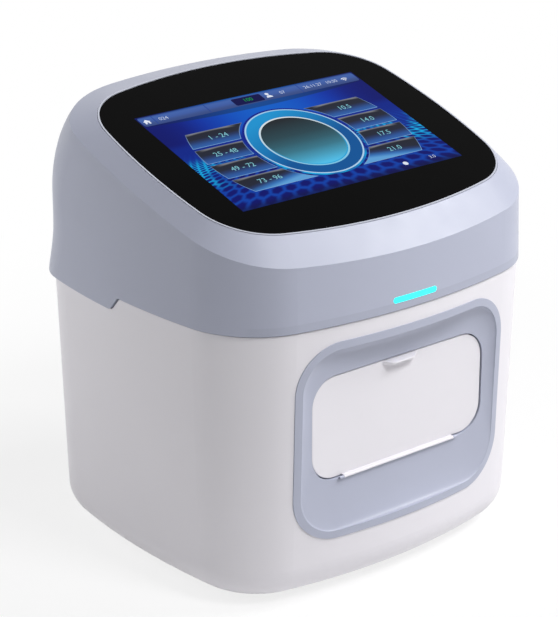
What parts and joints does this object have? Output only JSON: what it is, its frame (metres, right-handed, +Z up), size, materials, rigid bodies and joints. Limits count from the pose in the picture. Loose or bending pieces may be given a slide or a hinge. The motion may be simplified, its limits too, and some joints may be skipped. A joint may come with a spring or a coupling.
{
  "type": "hemoglobin analyzer",
  "caption": "Bench-top analyzer: tapered housing, hinged cover with sloped touch screen, scooped front bay with drop-down flap, rack, needle and pump inside.",
  "frame": {"origin": "on the table under the middle of the instrument", "axes": "+X to the instrument's right as seen from the front, +Y to its back, +Z up; the front with the flap faces -Y"},
  "size_m": [0.3246, 0.3054, 0.3566],
  "materials": {
    "white": "fine satin moulded plastic",
    "grey": "satin blue-grey moulded plastic",
    "trim": "smooth light grey",
    "glass": "black-backed gloss cover glass",
    "screen": "lit display panel",
    "light": "lit light guide",
    "rubber": "matte",
    "steel": "brushed",
    "sheet": "zinc-plated sheet",
    "alu": "anodised satin",
    "liner": "light grey moulded plastic",
    "dark": "black moulded plastic",
    "motor": "black with bare steel ends",
    "board": "green solder mask",
    "rack": "blue moulded plastic",
    "tube": "clear tube",
    "bottle": "translucent white plastic",
    "cap": "ribbed cap",
    "line": "amber thin tubing",
    "panel": "powder coat"
  },
  "bodies": {
    "housing": {"lower_housing": "white", "rubber_feet": "rubber", "recess_frame": "grey", "chassis_plate": "sheet", "fasteners": "steel", "hinge_leaves_fixed": "steel", "hinge_pins": "steel", "sample_deck": "sheet", "bay_liner": "liner", "tray_guides": "steel", "stepper_motors": "motor", "needle_gantry": "alu", "column_oven": "alu", "oven_lid": "liner", "separation_column": "steel", "valve_bracket": "sheet", "valve_body": "alu", "pump_frame": "alu", "pump_head": "steel", "degasser": "dark", "optical_detector": "dark", "bottle_rack": "liner", "reagent_bottles": "bottle", "bottle_caps": "cap", "main_board": "board", "power_supply": "sheet", "rear_panel": "panel", "fan_housing": "dark", "fan_guard": "steel", "power_inlet": "dark", "data_sockets": "steel", "tube_fittings": "dark", "fluid_lines": "line"},
    "cover": {"top_cover": "grey", "screen_trim": "trim", "touch_glass": "glass", "screen_module": "screen", "screen_bracket": "sheet", "screen_board": "board", "light_bar": "light", "light_bar_board": "board", "hinge_leaves_moving": "steel"},
    "flap": {"flap_panel": "white", "flap_pins": "steel"},
    "rack": {"tray_carriage": "alu", "sample_rack": "rack", "sample_tubes": "tube"},
    "rack_screw": {"tray_screw": "steel"},
    "needle_carriage": {"cross_carriage": "alu", "lift_motor": "motor"},
    "carriage_screw": {"cross_screw": "steel"},
    "needle": {"needle_holder": "dark", "sample_needle": "steel"},
    "needle_screw": {"lift_screw": "steel"},
    "valve": {"valve_rotor": "dark"},
    "pump": {"pump_crosshead": "steel"},
    "pump_drive_screw": {"pump_screw": "steel"},
    "fan": {"fan_rotor": "dark"},
    "switch": {"switch_rocker": "dark"}
  },
  "joints": [
    {"name": "cover_hinge", "type": "hinge", "parent": "housing", "child": "cover", "pos_m": [0, 0.1517, 0.21215], "axis": [-1, 0, 0], "range_deg": [0, 65]},
    {"name": "flap_hinge", "type": "hinge", "parent": "housing", "child": "flap", "pos_m": [0, -0.1364, 0.0959], "axis": [1, 0, 0], "range_deg": [0, 90]},
    {"name": "rack_slide", "type": "slide", "parent": "housing", "child": "rack", "axis": [0, 1, 0], "range_m": [0, 0.056]},
    {"name": "rack_screw_turn", "type": "hinge", "parent": "housing", "child": "rack_screw", "pos_m": [0, -0.06, 0.084], "axis": [0, 1, 0], "range_deg": [-1, 1441]},
    {"name": "needle_cross_slide", "type": "slide", "parent": "housing", "child": "needle_carriage", "axis": [1, 0, 0], "range_m": [0, 0.06]},
    {"name": "carriage_screw_turn", "type": "hinge", "parent": "housing", "child": "carriage_screw", "pos_m": [0, -0.033, 0.24], "axis": [1, 0, 0], "range_deg": [-1, 1441]},
    {"name": "needle_lift", "type": "slide", "parent": "needle_carriage", "child": "needle", "axis": [0, 0, -1], "range_m": [0, 0.06]},
    {"name": "needle_screw_turn", "type": "hinge", "parent": "needle_carriage", "child": "needle_screw", "pos_m": [0.01, -0.048, 0.22], "axis": [0, 0, 1], "range_deg": [-1, 1801]},
    {"name": "valve_turn", "type": "hinge", "parent": "housing", "child": "valve", "pos_m": [0.02, 0.062, 0.12], "axis": [0, 0, 1], "range_deg": [0, 60]},
    {"name": "pump_stroke", "type": "slide", "parent": "housing", "child": "pump", "axis": [0, -1, 0], "range_m": [0, 0.02]},
    {"name": "pump_screw_turn", "type": "hinge", "parent": "housing", "child": "pump_drive_screw", "pos_m": [-0.112, 0.06, 0.05], "axis": [0, -1, 0], "range_deg": [-1, 1441]},
    {"name": "fan_spin", "type": "hinge", "parent": "housing", "child": "fan", "pos_m": [-0.05, 0.115, 0.1], "axis": [0, 1, 0], "continuous": true},
    {"name": "switch_rock", "type": "hinge", "parent": "housing", "child": "switch", "pos_m": [0.064, 0.1307, 0.062], "axis": [1, 0, 0], "range_deg": [-18, 0]}
  ],
  "couplings": [
    {"joint": "rack_screw_turn", "follows": "rack_slide", "rad_per_m": 448.8},
    {"joint": "carriage_screw_turn", "follows": "needle_cross_slide", "rad_per_m": 418.88},
    {"joint": "needle_screw_turn", "follows": "needle_lift", "rad_per_m": 523.6},
    {"joint": "pump_screw_turn", "follows": "pump_stroke", "rad_per_m": 1256.6}
  ]
}
